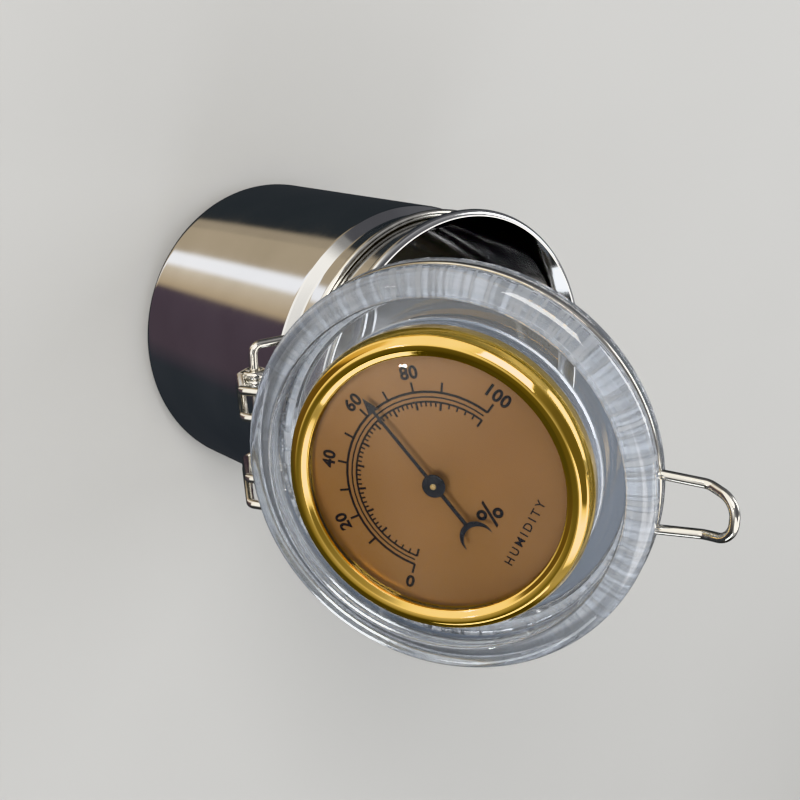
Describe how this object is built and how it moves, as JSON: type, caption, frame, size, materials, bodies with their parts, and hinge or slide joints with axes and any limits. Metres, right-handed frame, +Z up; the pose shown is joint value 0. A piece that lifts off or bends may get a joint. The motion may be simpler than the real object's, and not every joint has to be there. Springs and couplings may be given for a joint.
{
  "type": "canister with dial hygrometer lid",
  "caption": "Steel canister with a wire-hinged clear lid that carries a gold-rimmed dial hygrometer, and a swing wire latch.",
  "frame": {"origin": "centre of the canister base, on the surface it stands on", "axes": "+Z up along the canister to its mouth, +Y from the hinge to the latch, +X along the hinge axis"},
  "size_m": [0.103, 0.1422, 0.2175],
  "materials": {
    "steel": "polished stainless sheet with a soft grain round the wall",
    "wire": "bright polished wire",
    "acrylic": "clear cast acrylic, polished faces",
    "silicone": "translucent white silicone",
    "gold": "bright gold plate",
    "crystal": "clear domed lens",
    "seal": "matte black rubber",
    "dial": "satin copper-bronze dial",
    "case": "plain drawn metal",
    "rubber_grip": "matte ribbed rubber",
    "screws": "nickel plate",
    "brass": "turned and stamped brass",
    "coil": "thin coated strip",
    "arbor_steel": "turned pin",
    "pointer_black": "black lacquer"
  },
  "bodies": {
    "canister": {"canister_body": "steel", "neck_ring": "wire"},
    "latch": {"latch_bail": "wire"},
    "lid": {"lid_body": "acrylic", "lid_gasket": "silicone", "lid_ring": "wire", "hinge_hooks": "wire"},
    "hygrometer": {"bezel": "gold", "crystal": "crystal", "crystal_seal": "seal", "dial_plate": "dial", "case_cup": "case", "grip_ring": "rubber_grip", "back_cover": "case", "back_screws": "screws", "front_bridge": "brass", "rear_bridge": "brass", "bridge_pillars": "brass", "bridge_screws": "screws", "dial_bush": "brass"},
    "regulator": {"regulator": "brass", "coil_stud": "brass", "humidity_coil": "coil"},
    "pointer": {"arbor": "arbor_steel", "coil_collet": "brass", "pointer_hub": "pointer_black", "pointer": "pointer_black"}
  },
  "joints": [
    {"name": "lid_hinge", "type": "hinge", "parent": "canister", "child": "lid", "pos_m": [0, -0.0625, 0.0899], "axis": [1, 0, 0], "range_deg": [-60, 135]},
    {"name": "latch_swing", "type": "hinge", "parent": "canister", "child": "latch", "pos_m": [0.00298, 0.05692, 0.0905], "axis": [0.9986, -0.0523, 0], "range_deg": [0, 174]},
    {"name": "hygrometer_turn", "type": "hinge", "parent": "lid", "child": "hygrometer", "pos_m": [0, -0.05385, 0.15708], "axis": [0, -0.866, 0.5], "continuous": true},
    {"name": "regulator_turn", "type": "hinge", "parent": "hygrometer", "child": "regulator", "pos_m": [0, -0.04866, 0.15408], "axis": [0, -0.866, 0.5], "range_deg": [-30, 30]},
    {"name": "pointer_swing", "type": "hinge", "parent": "regulator", "child": "pointer", "pos_m": [0, -0.05957, 0.16038], "axis": [0, -0.866, 0.5], "range_deg": [-74.7, 124.2], "stiffness_Nm_per_rad": 0.002}
  ]
}
